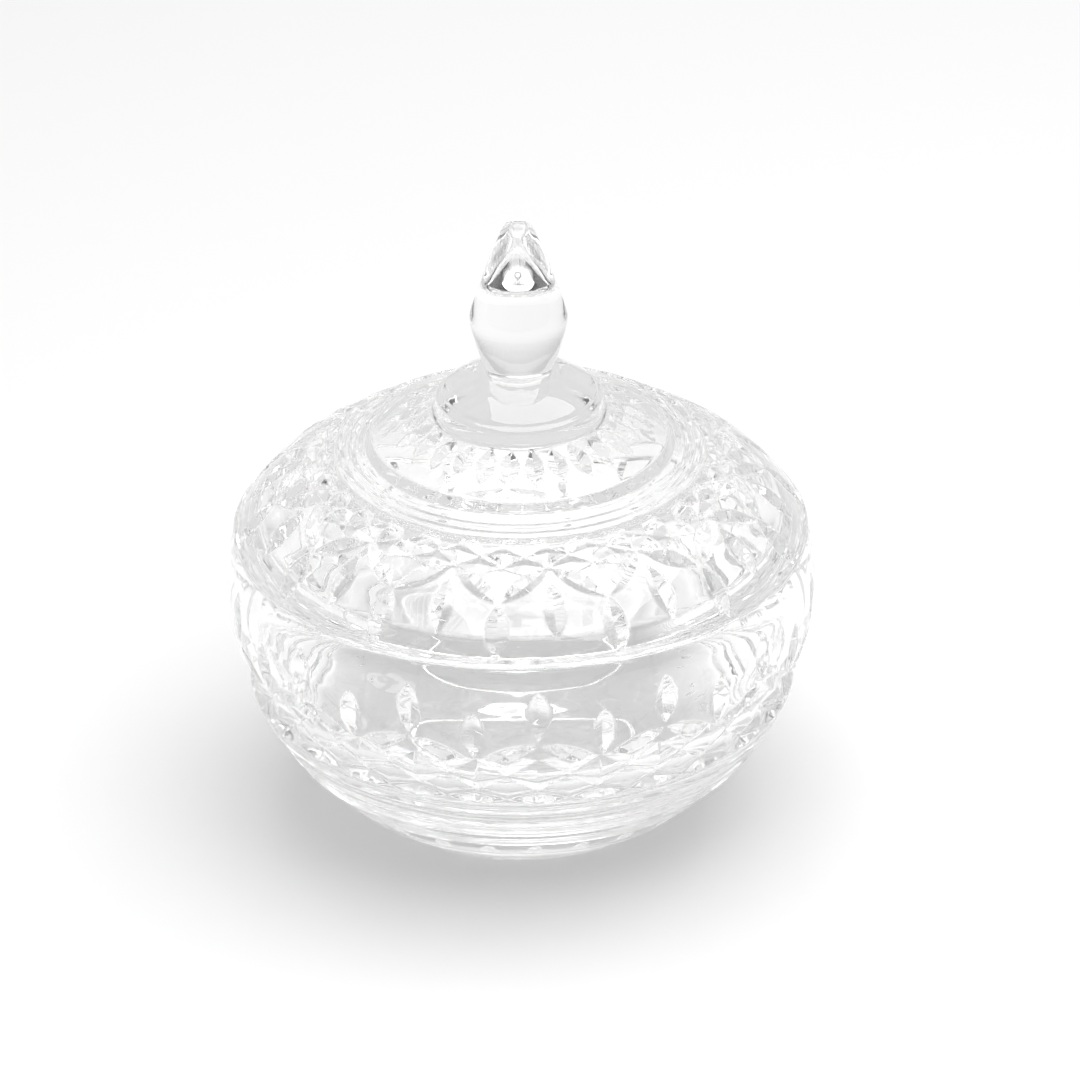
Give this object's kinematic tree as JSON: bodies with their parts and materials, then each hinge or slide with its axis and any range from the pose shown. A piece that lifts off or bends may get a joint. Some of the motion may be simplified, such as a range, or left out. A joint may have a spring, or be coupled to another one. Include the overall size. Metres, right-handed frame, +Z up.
{
  "type": "powder jar",
  "caption": "Round covered crystal jar: a bellied bowl with cut leaves and diamonds, and a domed lid with a solid pointed drop finial that lifts off.",
  "frame": {"origin": "centre of the bowl's foot, on the surface that the jar stands on", "axes": "+Z up along the jar's axis of symmetry, -Y towards the front"},
  "size_m": [0.14, 0.14, 0.1537],
  "materials": {
    "bowl_crystal": "polished cut crystal",
    "lid_crystal": "polished cut crystal",
    "finial_crystal": "polished solid crystal"
  },
  "bodies": {
    "bowl": {"bowl": "bowl_crystal"},
    "lid": {"lid": "lid_crystal", "finial": "finial_crystal"}
  },
  "joints": [
    {"name": "lid_lift", "type": "slide", "parent": "bowl", "child": "lid", "axis": [0, 0, 1], "range_m": [0, 0.1]}
  ]
}
